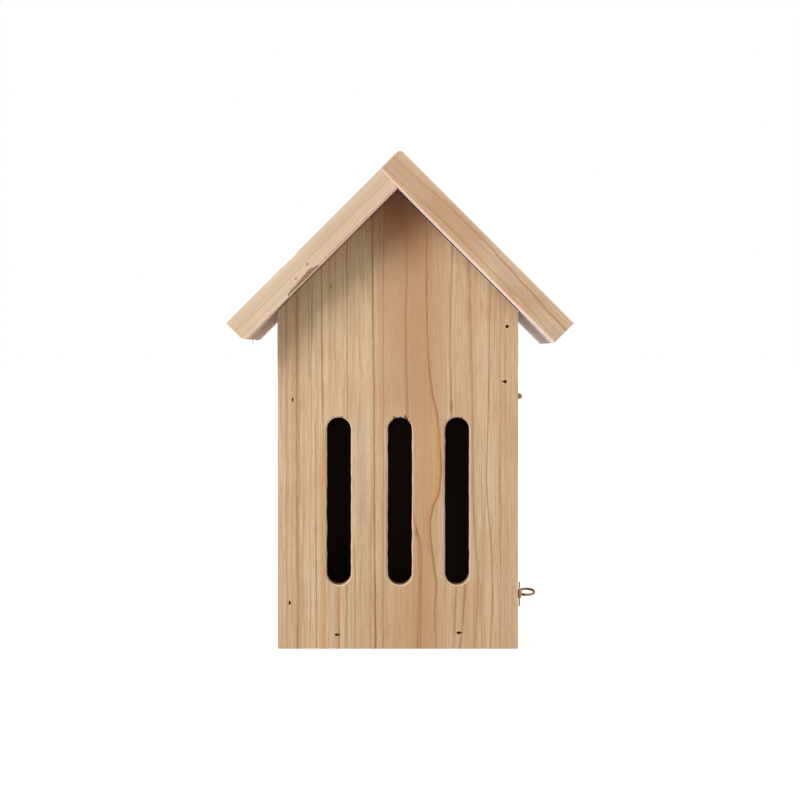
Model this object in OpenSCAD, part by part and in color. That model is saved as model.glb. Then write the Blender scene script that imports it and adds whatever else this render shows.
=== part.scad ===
// Butterfly house of nailed softwood boards under a saddle roof.
// The front panel has three tall slots, and a flap door hangs in the right wall.
// Frame: +Z up and the front towards -Y. The origin is under the ridge, at the
// middle of the footprint's depth. All sizes are in millimetres.

/* [Body] */
// Width of the front and back panels
body_w = 120; // [112:1:150]
// Depth of the body, from the front face to the back face
body_d = 102; // [90:1:130]
// Height of the walls where the roof slopes begin
shoulder_h = 169.4; // [160:0.1:200]
// Thickness of the body boards
board_t = 12; // [11:0.5:14]

/* [Roof] */
// Length of each slope, from the ridge to the eave
slope_len = 120.7; // [115:0.1:140]
// Thickness of the left roof board
left_roof_t = 12.2; // [11:0.1:15]
// Thickness of the right roof board, which laps the ridge
right_roof_t = 13.7; // [11:0.1:16]
// How far the roof stands out in front of the body
overhang = 18; // [5:1:30]
// Rounding of the left board's lower eave edge
eave_round = 4; // [1:0.5:6]

/* [Slots] */
// Width of each slot
slot_w = 12; // [8:0.5:14]
// Height of the slots' lower ends
slot_low = 32.5; // [25:0.5:45]
// Height of the slots' upper ends
slot_high = 116; // [90:0.5:125]
// Distances of the slots' centres from the panel's centre line
slot_x = [-29.8, 0.7, 29.2]; // [-40:0.1:40]

/* [Door] */
// Height of the hinge axis
hinge_z = 125.9; // [115:0.1:135]
// Gap around the door
door_gap = 0.8; // [0.4:0.1:1.5]
// Height of the door's lower edge above the base
door_lift = 1; // [0.5:0.1:3]

/* [Hinges] */
// Width of each hinge along its pin
hinge_w = 20; // [16:1:24]
// Height of each leaf, from the axis to its edge
leaf_h = 10; // [9:0.5:12]
// Thickness of the leaves
leaf_t = 0.8; // [0.6:0.1:1]
// Distance of each hinge from its end of the body
hinge_inset = 20; // [14:1:24]
// Radius of the pins
pin_r = 0.7; // [0.5:0.05:0.8]

/* [Turn button and pull ring] */
// Height of the button's pivot and of the ring
latch_z = 26.6; // [20:0.1:40]
// Length of the button
button_len = 12.4; // [11:0.1:12.5]
// Width of the button
button_w = 5; // [4:0.1:6]
// Outer diameter of the pull ring
ring_d = 9.2; // [8:0.1:11]
// Diameter of the ring's wire
wire_d = 1.25; // [1:0.05:1.5]
// Turn of the ring out of the level
ring_tilt = 17; // [0:1:30]

/* [Hanger plate] */
// Height of the plate's centre
hanger_z = 186; // [180:1:190]
// Length of the plate
hanger_len = 40; // [38:1:44]
// Radius of the hole that a wall screw's head goes in by
keyhole_r = 4; // [3.5:0.1:4.5]
// Width of the slot that it hangs in
keyslot_w = 4.2; // [3:0.1:5]

/* [Nails] */
// Radius of a nail's shank
nail_r = 0.6; // [0.5:0.05:0.8]
// Radius of a nail's head
nail_head_r = 0.85; // [0.85:0.05:1]
// How far the heads are driven below the wood
nail_set = 0.6; // [0.2:0.1:1]

/* [Hidden] */
$fn = 48;
eps = 0.01;

// Places that follow from the sizes above
body_x = -(right_roof_t - left_roof_t) / sqrt(2);
ridge_z = shoulder_h + body_w / 2 + (right_roof_t + left_roof_t) / sqrt(2);
roof_d = body_d + overhang;
roof_front = -roof_d / 2;
roof_back = roof_d / 2;
front_y = roof_front + overhang;
front_inner = front_y + board_t;
back_y = roof_back;
back_inner = back_y - board_t;
left_x = body_x - body_w / 2;
right_x = body_x + body_w / 2;
door_top = hinge_z - 0.5;
upper_low = hinge_z + 0.5;

// Hinges: the axis stands just outside the wall, and the knuckles clear the door's face
hinge_out = 1.5;
knuckle_r = hinge_out - 0.05;
pin_gap = 0.05;
knuckle_gap = 0.15;
knuckle_len = hinge_w * 0.28;
leaf_clear = 0.2;
hinge_ys = [front_y + hinge_inset + hinge_w / 2, back_y - hinge_inset - hinge_w / 2];
leaf_screw_y = hinge_w * 0.3;
leaf_screw_z = [7.4, 4.4];
leaf_screw_len = 5.6;

// Turn button: its end passes 3 mm over the door when it is turned level
button_y = front_inner - 2.5;
button_t = 0.5;
button_out = 0.9;
button_play = 0.05;
button_screw_r = 1.1;

// Pull ring
ring_y = front_inner + 8;
ring_out = 9.8;
ring_r = (ring_d - wire_d) / 2;

// Hanger plate
hanger_t = 1.2;
hanger_w = 14;
hanger_screw_z = hanger_len / 2 - 4.5;
keyhole_z = -4;
keyslot_top = 7;

// Places of the nails, from the centre line and the base
front_nails = [[54.5, 161], [53.5, 133.5], [-52.5, 124.5], [-54, 23], [30.5, 8], [-30.5, 7]];
back_nails = [[54, 162], [53.5, 140], [-54, 140], [-53, 24], [-31, 6.5], [29, 7]];
roof_nail_s = [36, 80];
ridge_nail_y = [-45, 2, 46];

// ---- Shared shapes ----

// A flat outline in X and Z, given its thickness towards the back
module upright(y, t) {
    translate([body_x, y + t, 0])
        rotate([90, 0, 0])
            linear_extrude(t)
                children();
}

module gable_outline() {
    half = body_w / 2;
    polygon([[-half, 0], [half, 0], [half, shoulder_h], [0, shoulder_h + half], [-half, shoulder_h]]);
}

module slot_outline(w, low, high) {
    translate([-w / 2, low + w / 2])
        square([w, high - low - w]);
    for (z = [low + w / 2, high - w / 2])
        translate([0, z])
            circle(d = w);
}

// Down a slope from the ridge: +X runs to the eave, and +Z stands off the outer face
module on_slope(left = false) {
    translate([0, 0, ridge_z])
        mirror([left ? 1 : 0, 0, 0])
            rotate([0, 45, 0])
                children();
}

// A nail with its head's top at the origin and its point towards -Z.
// As a cut it also opens the dent above the head.
module brad(length, cut = false) {
    head_t = 0.8;
    tip = 1.6;
    translate([0, 0, -head_t])
        cylinder(r = nail_head_r, h = head_t + (cut ? nail_set + eps : 0));
    translate([0, 0, tip - length])
        cylinder(r = nail_r, h = length - tip - head_t + eps);
    translate([0, 0, -length])
        cylinder(r1 = nail_r / 5, r2 = nail_r, h = tip + eps);
}

// A countersunk screw with the surface it sits flush with at z = 0
module flat_screw(length, r, head_r, sink, dome) {
    ball_r = dome > 0 ? (head_r * head_r + dome * dome) / (2 * dome) : 0;
    translate([0, 0, -sink])
        cylinder(r1 = r, r2 = head_r, h = sink);
    translate([0, 0, -length])
        cylinder(r = r, h = length - sink + eps);
    if (dome > 0)
        intersection() {
            translate([0, 0, dome - ball_r])
                sphere(r = ball_r);
            translate([0, 0, -eps])
                cylinder(r = head_r, h = dome + 1);
        }
}

// ---- Nails ----

module panel_nails(places, back = false, cut = false) {
    for (p = places)
        translate([body_x + p[0], back ? back_y - nail_set : front_y + nail_set, p[1]])
            rotate([back ? -90 : 90, 0, 0])
                brad(25, cut);
}

module roof_nails(left, cut = false) {
    on_slope(left)
        for (s = roof_nail_s, y = [front_y + board_t / 2, back_y - board_t / 2])
            translate([s, y, -nail_set])
                brad(30, cut);
}

// Through the right board's lap and into the left board's end
module ridge_nail_set(cut = false) {
    on_slope()
        for (y = ridge_nail_y)
            translate([left_roof_t / 2, y, -nail_set])
                brad(35, cut);
}

module front_panel_nails() {
    color("dimgray") panel_nails(front_nails);
}

module back_panel_nails() {
    color("dimgray") panel_nails(back_nails, back = true);
}

module left_roof_nails() {
    color("dimgray") roof_nails(true);
}

module right_roof_nails() {
    color("dimgray") roof_nails(false);
}

module ridge_nails() {
    color("dimgray") ridge_nail_set();
}

// ---- Boards ----

module front_panel() {
    color("burlywood")
        difference() {
            upright(front_y, board_t)
                difference() {
                    gable_outline();
                    for (x = slot_x)
                        translate([x, 0])
                            slot_outline(slot_w, slot_low, slot_high);
                }
            panel_nails(front_nails, cut = true);
            roof_nails(true, cut = true);
            roof_nails(false, cut = true);
            turn_screw_place() turn_screw();
        }
}

module back_panel() {
    color("burlywood")
        difference() {
            upright(back_inner, board_t)
                gable_outline();
            panel_nails(back_nails, back = true, cut = true);
            roof_nails(true, cut = true);
            roof_nails(false, cut = true);
            hanger_place() {
                translate([0, 0, -hanger_t])
                    linear_extrude(hanger_t + eps)
                        hanger_outline();
                translate([0, 0, -hanger_t - 6])
                    linear_extrude(6 + eps)
                        keyhole_outline(3);
                hanger_screw_set();
            }
        }
}

module left_side_panel() {
    color("wheat")
        difference() {
            upright(front_inner, back_inner - front_inner)
                polygon([[-body_w / 2, 0], [board_t - body_w / 2, 0],
                    [board_t - body_w / 2, shoulder_h + board_t], [-body_w / 2, shoulder_h]]);
            panel_nails(front_nails, cut = true);
            panel_nails(back_nails, back = true, cut = true);
        }
}

module right_upper_board() {
    color("wheat")
        difference() {
            upright(front_inner, back_inner - front_inner)
                polygon([[body_w / 2 - board_t, upper_low], [body_w / 2, upper_low],
                    [body_w / 2, shoulder_h], [body_w / 2 - board_t, shoulder_h + board_t]]);
            panel_nails(front_nails, cut = true);
            panel_nails(back_nails, back = true, cut = true);
            hinge_fixed_screw_set();
        }
}

// The floor's right edge is the stop that the closed door rests on
module floor_board() {
    stop_gap = 0.1;
    color("wheat")
        difference() {
            translate([left_x + board_t, front_inner, 0])
                cube([body_w - 2 * board_t - stop_gap, back_inner - front_inner, board_t]);
            panel_nails(front_nails, cut = true);
            panel_nails(back_nails, back = true, cut = true);
        }
}

module side_door() {
    color("wheat")
        difference() {
            translate([right_x - board_t, front_inner + door_gap, door_lift])
                cube([board_t, back_inner - front_inner - 2 * door_gap, door_top - door_lift]);
            hinge_door_screw_set();
            ring_place() ring_shank();
        }
}

module left_roof_board() {
    run = slope_len - right_roof_t;
    color("tan")
        difference() {
            on_slope(left = true)
                translate([right_roof_t, roof_back, -left_roof_t])
                    rotate([90, 0, 0])
                        linear_extrude(roof_d)
                            difference() {
                                square([run, left_roof_t]);
                                translate([run - eave_round, 0])
                                    difference() {
                                        translate([0, -eps])
                                            square([eave_round + eps, eave_round + eps]);
                                        translate([0, eave_round])
                                            circle(r = eave_round);
                                    }
                            }
            roof_nails(true, cut = true);
            ridge_nail_set(cut = true);
        }
}

module right_roof_board() {
    color("tan")
        difference() {
            on_slope()
                translate([0, roof_front, -right_roof_t])
                    cube([slope_len, roof_d, right_roof_t]);
            roof_nails(false, cut = true);
            ridge_nail_set(cut = true);
        }
}

// ---- Hinges ----

// At a hinge's middle: +Y along the pin, +Z up the fixed leaf and +X away from the wall
module hinge_place(i) {
    translate([right_x + hinge_out, hinge_ys[i], hinge_z])
        children();
}

// A leaf standing up from the axis, with knuckles over the stretches given
module leaf(stretches, bore_r) {
    low = knuckle_r + leaf_clear;
    difference() {
        union() {
            translate([-hinge_out, -hinge_w / 2, low])
                cube([leaf_t, hinge_w, leaf_h - low]);
            for (s = stretches) {
                translate([-hinge_out, s[0], 0])
                    cube([leaf_t, s[1] - s[0], low + eps]);
                translate([0, s[1], 0])
                    rotate([90, 0, 0])
                        cylinder(r = knuckle_r, h = s[1] - s[0]);
            }
        }
        translate([0, hinge_w, 0])
            rotate([90, 0, 0])
                cylinder(r = bore_r, h = 2 * hinge_w);
        leaf_screws(false);
    }
}

// Two screws to a leaf, set one above the other like the holes of a small butt hinge
module leaf_screws(dome = true) {
    for (k = [0, 1])
        translate([leaf_t - hinge_out, (2 * k - 1) * leaf_screw_y, leaf_screw_z[k]])
            rotate([0, 90, 0])
                flat_screw(leaf_screw_len, 0.8, 1.6, leaf_t, dome ? 0.45 : 0);
}

module fixed_leaf(i) {
    end = hinge_w / 2;
    color("darkkhaki")
        hinge_place(i)
            leaf([[-end, knuckle_len - end], [end - knuckle_len, end]], pin_r);
}

module door_leaf(i) {
    half = hinge_w / 2 - knuckle_len - knuckle_gap;
    color("darkkhaki")
        hinge_place(i)
            rotate([180, 0, 0])
                leaf([[-half, half]], pin_r + pin_gap);
}

module hinge_pin(i) {
    color("darkgoldenrod")
        hinge_place(i)
            translate([0, hinge_w / 2, 0])
                rotate([90, 0, 0])
                    cylinder(r = pin_r, h = hinge_w);
}

module hinge_fixed_screw_set() {
    for (i = [0, 1])
        hinge_place(i)
            leaf_screws();
}

module hinge_door_screw_set() {
    for (i = [0, 1])
        hinge_place(i)
            rotate([180, 0, 0])
                leaf_screws();
}

module front_hinge_fixed_leaf() {
    fixed_leaf(0);
}

module front_hinge_door_leaf() {
    door_leaf(0);
}

module front_hinge_pin() {
    hinge_pin(0);
}

module rear_hinge_fixed_leaf() {
    fixed_leaf(1);
}

module rear_hinge_door_leaf() {
    door_leaf(1);
}

module rear_hinge_pin() {
    hinge_pin(1);
}

module hinge_fixed_screws() {
    color("goldenrod") hinge_fixed_screw_set();
}

module hinge_door_screws() {
    color("goldenrod") hinge_door_screw_set();
}

// ---- Turn button ----

// On the front panel's right edge, with +Z away from the wood and +X up
module turn_screw_place() {
    translate([right_x, button_y, latch_z])
        rotate([0, 90, 0])
            rotate([0, 0, 180])
                children();
}

module turn_screw() {
    head_r = 2.6;
    head_h = 1;
    seat = button_out + button_t + button_play;
    ball_r = (head_r * head_r + head_h * head_h) / (2 * head_h);
    translate([0, 0, -10])
        cylinder(r = button_screw_r, h = 10 + seat + eps);
    intersection() {
        translate([0, 0, seat + head_h - ball_r])
            sphere(r = ball_r);
        translate([0, 0, seat])
            cylinder(r = head_r, h = head_h + 1);
    }
}

// A thin plate that a pressed collar holds off the wood
module turn_button() {
    color("gold")
        turn_screw_place()
            difference() {
                union() {
                    translate([0, 0, button_out])
                        linear_extrude(button_t)
                            rotate([0, 0, 90])
                                slot_outline(button_w, -button_len / 2, button_len / 2);
                    translate([0, 0, button_play])
                        cylinder(r = 2.1, h = button_out);
                }
                translate([0, 0, -1])
                    cylinder(r = button_screw_r + button_play, h = 4);
            }
}

module turn_button_screw() {
    color("goldenrod") turn_screw_place() turn_screw();
}

// ---- Pull ring ----

// On the door's outer face, with +Z away from the wood
module ring_place() {
    translate([right_x, ring_y, latch_z])
        rotate([ring_tilt, 0, 0])
            rotate([0, 90, 0])
                children();
}

module ring_shank() {
    translate([0, 0, -8])
        cylinder(d = wire_d, h = 8 + ring_out - ring_d + wire_d / 2);
}

module door_pull_ring() {
    color("gold")
        ring_place() {
            ring_shank();
            translate([0, 0, ring_out - ring_d / 2])
                rotate([0, 90, 0])
                    rotate_extrude()
                        translate([ring_r, 0])
                            circle(d = wire_d);
        }
}

// ---- Hanger plate ----

// On the back face, with +Z away from the wood and +Y up
module hanger_place() {
    translate([body_x, back_y, hanger_z])
        rotate([-90, 180, 0])
            children();
}

module hanger_outline() {
    slot_outline(hanger_w, -hanger_len / 2, hanger_len / 2);
}

module keyhole_outline(grow = 0) {
    translate([0, keyhole_z])
        circle(r = keyhole_r + grow);
    translate([-keyslot_w / 2 - grow, keyhole_z])
        square([keyslot_w + 2 * grow, keyslot_top - keyhole_z]);
    translate([0, keyslot_top])
        circle(d = keyslot_w + 2 * grow);
}

module hanger_screw_set() {
    for (z = [-hanger_screw_z, hanger_screw_z])
        translate([0, z, 0])
            flat_screw(10, 1.2, 2.4, hanger_t, 0);
}

module hanger_plate() {
    color("silver")
        hanger_place()
            difference() {
                translate([0, 0, -hanger_t])
                    linear_extrude(hanger_t)
                        difference() {
                            hanger_outline();
                            keyhole_outline();
                        }
                hanger_screw_set();
            }
}

module hanger_screws() {
    color("silver") hanger_place() hanger_screw_set();
}

front_panel();
back_panel();
left_side_panel();
right_upper_board();
floor_board();
left_roof_board();
right_roof_board();
side_door();
front_hinge_fixed_leaf();
front_hinge_door_leaf();
front_hinge_pin();
rear_hinge_fixed_leaf();
rear_hinge_door_leaf();
rear_hinge_pin();
hinge_fixed_screws();
hinge_door_screws();
turn_button();
turn_button_screw();
door_pull_ring();
hanger_plate();
hanger_screws();
front_panel_nails();
back_panel_nails();
left_roof_nails();
right_roof_nails();
ridge_nails();
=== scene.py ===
import math
import random
import bpy
from mathutils import Matrix, Vector


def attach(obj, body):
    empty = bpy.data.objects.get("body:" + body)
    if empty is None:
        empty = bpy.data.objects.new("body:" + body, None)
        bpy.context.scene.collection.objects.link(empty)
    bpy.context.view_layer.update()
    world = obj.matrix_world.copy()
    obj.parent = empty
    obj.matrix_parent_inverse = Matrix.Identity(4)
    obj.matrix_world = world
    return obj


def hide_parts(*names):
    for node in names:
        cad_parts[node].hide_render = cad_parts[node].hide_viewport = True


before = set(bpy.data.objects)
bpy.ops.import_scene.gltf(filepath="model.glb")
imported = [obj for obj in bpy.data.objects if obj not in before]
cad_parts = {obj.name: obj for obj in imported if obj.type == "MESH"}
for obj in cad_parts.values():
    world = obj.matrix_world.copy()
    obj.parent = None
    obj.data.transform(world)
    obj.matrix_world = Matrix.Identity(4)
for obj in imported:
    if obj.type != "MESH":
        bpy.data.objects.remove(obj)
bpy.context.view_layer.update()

mm = 0.001
chance = random.Random(7)


# Modelling helpers. Sizes and places are in millimetres.

def only(*pieces):
    bpy.ops.object.select_all(action="DESELECT")
    for piece in pieces:
        piece.select_set(True)
    bpy.context.view_layer.objects.active = pieces[0]


def metres(place):
    return Vector(place) * mm


def settle(piece):
    only(piece)
    bpy.ops.object.transform_apply(location=True, rotation=True, scale=True)
    return piece


def named(name, turn=(0, 0, 0)):
    piece = bpy.context.object
    piece.name = piece.data.name = name
    piece.rotation_euler = [math.radians(a) for a in turn]
    return settle(piece)


def block(name, low, high):
    low, high = Vector(low), Vector(high)
    bpy.ops.object.select_all(action="DESELECT")
    bpy.ops.mesh.primitive_cube_add(size=1, location=metres((low + high) / 2),
                                    scale=metres(high - low))
    return named(name)


def rod(name, place, radius, length, turn=(0, 0, 0), sides=32):
    bpy.ops.object.select_all(action="DESELECT")
    bpy.ops.mesh.primitive_cylinder_add(vertices=sides, radius=radius * mm, depth=length * mm,
                                        location=metres(place))
    return named(name, turn)


def pickEdges(piece, test):
    # test takes an edge's middle in millimetres and its direction
    only(piece)
    bpy.ops.object.mode_set(mode="EDIT")
    bpy.ops.mesh.select_mode(type="EDGE")
    bpy.ops.mesh.select_all(action="DESELECT")
    bpy.ops.object.mode_set(mode="OBJECT")
    points = piece.data.vertices
    for edge in piece.data.edges:
        a, b = (points[i].co / mm for i in edge.vertices)
        edge.select = bool(test((a + b) / 2, (b - a).normalized()))
    bpy.ops.object.mode_set(mode="EDIT")


def done(piece):
    bpy.ops.object.mode_set(mode="OBJECT")
    return piece


def roundEdges(piece, test, radius, segments=6):
    pickEdges(piece, test)
    bpy.ops.mesh.bevel(offset=radius * mm, segments=segments, profile=0.5)
    return done(piece)


def cutAway(piece, place, normal):
    only(piece)
    bpy.ops.object.mode_set(mode="EDIT")
    bpy.ops.mesh.select_all(action="SELECT")
    bpy.ops.mesh.bisect(plane_co=metres(place), plane_no=normal, use_fill=True, clear_outer=True)
    return done(piece)


def modifier(piece, kind, **settings):
    only(piece)
    made = piece.modifiers.new(kind.title(), kind)
    for key, value in settings.items():
        setattr(made, key, value)
    bpy.ops.object.modifier_apply(modifier=made.name)
    return piece


def discard(piece):
    bpy.data.objects.remove(piece, do_unlink=True)


def combine(piece, other, operation="DIFFERENCE"):
    modifier(piece, "BOOLEAN", operation=operation, solver="EXACT", object=other)
    discard(other)
    return piece


def joined(name, pieces):
    only(*pieces)
    bpy.ops.object.join()
    piece = bpy.context.object
    piece.name = piece.data.name = name
    return piece


def ease(piece, width, segments=2, angle=35):
    # break the sharp edges and smooth the shading between flat faces
    modifier(piece, "BEVEL", width=width * mm, segments=segments, limit_method="ANGLE",
             angle_limit=math.radians(angle), use_clamp_overlap=True)
    only(piece)
    bpy.ops.object.shade_smooth_by_angle(angle=math.radians(38))
    return modifier(piece, "WEIGHTED_NORMAL", mode="FACE_AREA", weight=100, keep_sharp=True)


def shift(piece, move=(0, 0, 0), turn=0, axis="X", about=(0, 0, 0)):
    centre = Matrix.Translation(metres(about))
    piece.data.transform(Matrix.Translation(metres(move)) @ centre
                         @ Matrix.Rotation(math.radians(turn), 4, axis) @ centre.inverted())
    return piece


def copied(piece, name, move=(0, 0, 0)):
    only(piece)
    bpy.ops.object.duplicate()
    twin = bpy.context.object
    twin.name = twin.data.name = name
    return shift(twin, move)


# Shader helpers

class Socket:
    def __init__(self, tree, link):
        self.tree, self.link = tree, link

    def math(self, operation, *items):
        node = self.tree.nodes.new("ShaderNodeMath")
        node.operation = operation
        for place, item in zip(node.inputs, items):
            if isinstance(item, Socket):
                self.tree.links.new(item.link, place)
            else:
                place.default_value = item
        return Socket(self.tree, node.outputs[0])

    def __add__(self, other):
        return self.math("ADD", self, other)

    __radd__ = __add__

    def __sub__(self, other):
        return self.math("SUBTRACT", self, other)

    def __rsub__(self, other):
        return self.math("SUBTRACT", other, self)

    def __mul__(self, other):
        return self.math("MULTIPLY", self, other)

    __rmul__ = __mul__

    def __truediv__(self, other):
        return self.math("DIVIDE", self, other)

    def __pow__(self, other):
        return self.math("POWER", self, other)

    def __abs__(self):
        return self.math("ABSOLUTE", self)

    def part(self):
        return self.math("FRACT", self)


class Finish:
    def __init__(self, name):
        self.material = bpy.data.materials.new(name)
        self.material.use_nodes = True
        self.tree = self.material.node_tree
        self.shader = self.tree.nodes["Principled BSDF"]

    def put(self, place, item):
        if isinstance(item, Socket):
            self.tree.links.new(item.link, place)
        elif isinstance(item, tuple) and len(item) == 3 and place.type == "RGBA":
            place.default_value = (*item, 1)
        else:
            place.default_value = item

    def node(self, kind, settings=None, sockets=None, out=0):
        node = self.tree.nodes.new(kind)
        for key, value in (settings or {}).items():
            if key == "stops":
                self.setStops(node.color_ramp, value)
            elif key == "points":
                self.setPoints(node.mapping, value)
            else:
                setattr(node, key, value)
        for key, item in (sockets or {}).items():
            self.put(node.inputs[key], item)
        return Socket(self.tree, node.outputs[out])

    def setStops(self, ramp, stops):
        while len(ramp.elements) < len(stops):
            ramp.elements.new(1)
        for element, (place, level) in zip(ramp.elements, stops):
            element.position = place
            element.color = (*level, 1) if isinstance(level, tuple) else (level, level, level, 1)

    def setPoints(self, mapping, points):
        curve = mapping.curves[0]
        while len(curve.points) < len(points):
            curve.points.new(0.5, 0.5)
        for point, place in zip(curve.points, sorted(points)):
            point.location = place
        mapping.update()

    def mix(self, amount, first, second, blend="MIX"):
        node = self.tree.nodes.new("ShaderNodeMix")
        node.data_type, node.blend_type = "RGBA", blend
        for key, item in (("Factor_Float", amount), ("A_Color", first), ("B_Color", second)):
            self.put(next(i for i in node.inputs if i.identifier == key), item)
        return Socket(self.tree, next(o for o in node.outputs if o.identifier == "Result_Color"))

    def smooth(self, item, low, high, fromLevel=0.0, toLevel=1.0):
        return self.node("ShaderNodeMapRange", {"interpolation_type": "SMOOTHSTEP"},
                         {"Value": item, "From Min": low, "From Max": high,
                          "To Min": fromLevel, "To Max": toLevel})

    def noise(self, place, scale, detail=2.0, rough=0.5, shift=(0, 0, 0)):
        moved = self.node("ShaderNodeMapping", {}, {"Vector": place, "Scale": scale, "Location": shift})
        return self.node("ShaderNodeTexNoise", {}, {"Vector": moved, "Scale": 1.0, "Detail": detail,
                                                    "Roughness": rough})

    def finish(self, colour, rough, metal=0.0, height=None, depth=0.05):
        self.put(self.shader.inputs["Base Color"], colour)
        self.put(self.shader.inputs["Roughness"], rough)
        self.shader.inputs["Metallic"].default_value = metal
        if height is not None:
            bump = self.node("ShaderNodeBump", {}, {"Height": height, "Distance": depth * mm,
                                                    "Strength": 1.0})
            self.put(self.shader.inputs["Normal"], bump)
        return self.material


# Camera, light and floor

print("stage")
view = {
    "eye": (0, -1260, 147),
    "downTurn": 1.065,
    "lens": 109.9,
    "worldStrength": 1.0,
    "keyPlace": (-820, -900, 1000),
    "keyAim": (0, -40, 130),
    "keySize": 720,
    "keyPower": 21.0,
    "gamma": 0.68,
    "floorColour": (0.27, 0.27, 0.27),
    "floorGlow": 0.75,
}


def makeStage():
    eye = bpy.data.objects.new("camera", bpy.data.cameras.new("camera"))
    bpy.context.scene.collection.objects.link(eye)
    eye.location = metres(view["eye"])
    eye.rotation_euler = (math.radians(90 - view["downTurn"]), 0, 0)
    eye.data.lens, eye.data.sensor_width, eye.data.clip_start = view["lens"], 36, 0.01
    bpy.context.scene.camera = eye

    world = bpy.data.worlds.new("studio")
    world.use_nodes = True
    world.node_tree.nodes["Background"].inputs["Color"].default_value = (1, 1, 1, 1)
    world.node_tree.nodes["Background"].inputs["Strength"].default_value = view["worldStrength"]
    bpy.context.scene.world = world
    bpy.context.scene.view_settings.view_transform = "Standard"
    bpy.context.scene.view_settings.gamma = view["gamma"]

    key = bpy.data.objects.new("keyLight", bpy.data.lights.new("keyLight", "AREA"))
    bpy.context.scene.collection.objects.link(key)
    key.location = metres(view["keyPlace"])
    aim = metres(view["keyAim"]) - key.location
    key.rotation_euler = aim.to_track_quat("-Z", "Y").to_euler()
    key.data.size, key.data.energy = view["keySize"] * mm, view["keyPower"]

    bpy.ops.object.select_all(action="DESELECT")
    bpy.ops.mesh.primitive_plane_add(size=60, location=(0, 0, 0))
    ground = bpy.context.object
    ground.name = "studioFloor"
    plain = Finish("studioWhite")
    spot = plain.node("ShaderNodeTexCoord", out="Object")
    cloud = plain.noise(spot, (3, 3, 3), 2)
    dull = tuple(0.98 * level for level in view["floorColour"])
    ground.data.materials.append(plain.finish(plain.mix(cloud, view["floorColour"], dull), 0.7))
    plain.shader.inputs["Emission Color"].default_value = (1, 1, 1, 1)
    plain.shader.inputs["Emission Strength"].default_value = view["floorGlow"]


makeStage()


# Wood. One maker stains every board: x runs across it, y into it and z along the grain, in millimetres.

yearStops = [(0, 0.0), (0.5, 0.06), (0.78, 0.55), (0.9, 1.0), (0.96, 0.7), (1, 0.0)]  # early to late wood
grain = {  # how finely each pattern varies across, into and along the board
    "wander": (0.045, 0.045, 0.012), "ripple": (0.11, 0.11, 0.035), "uneven": (0.5, 0.5, 0.002),
    "fibre": (3.2, 3.2, 0.05), "streak": (0.85, 0.85, 0.010), "broad": (0.10, 0.10, 0.006),
    "stain": (0.045, 0.045, 0.022), "pore": (5.5, 5.5, 0.28), "sway": (0.03, 0.03, 0.05),
    "fade": (0.08, 0.08, 0.02), "speck": (2.6, 2.6, 2.6),
}


def grainLine(path, rise, fall, depth, tint, **more):
    # path holds places along and across the board; more can be start, end, soft, sway, slant, least, dent
    return dict(path=path, rise=rise, fall=fall, depth=depth, tint=tint, **more)


def knot(place, size, depth, tint, ring=False):
    return dict(place=place, size=size, depth=depth, tint=tint, ring=ring)


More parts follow.
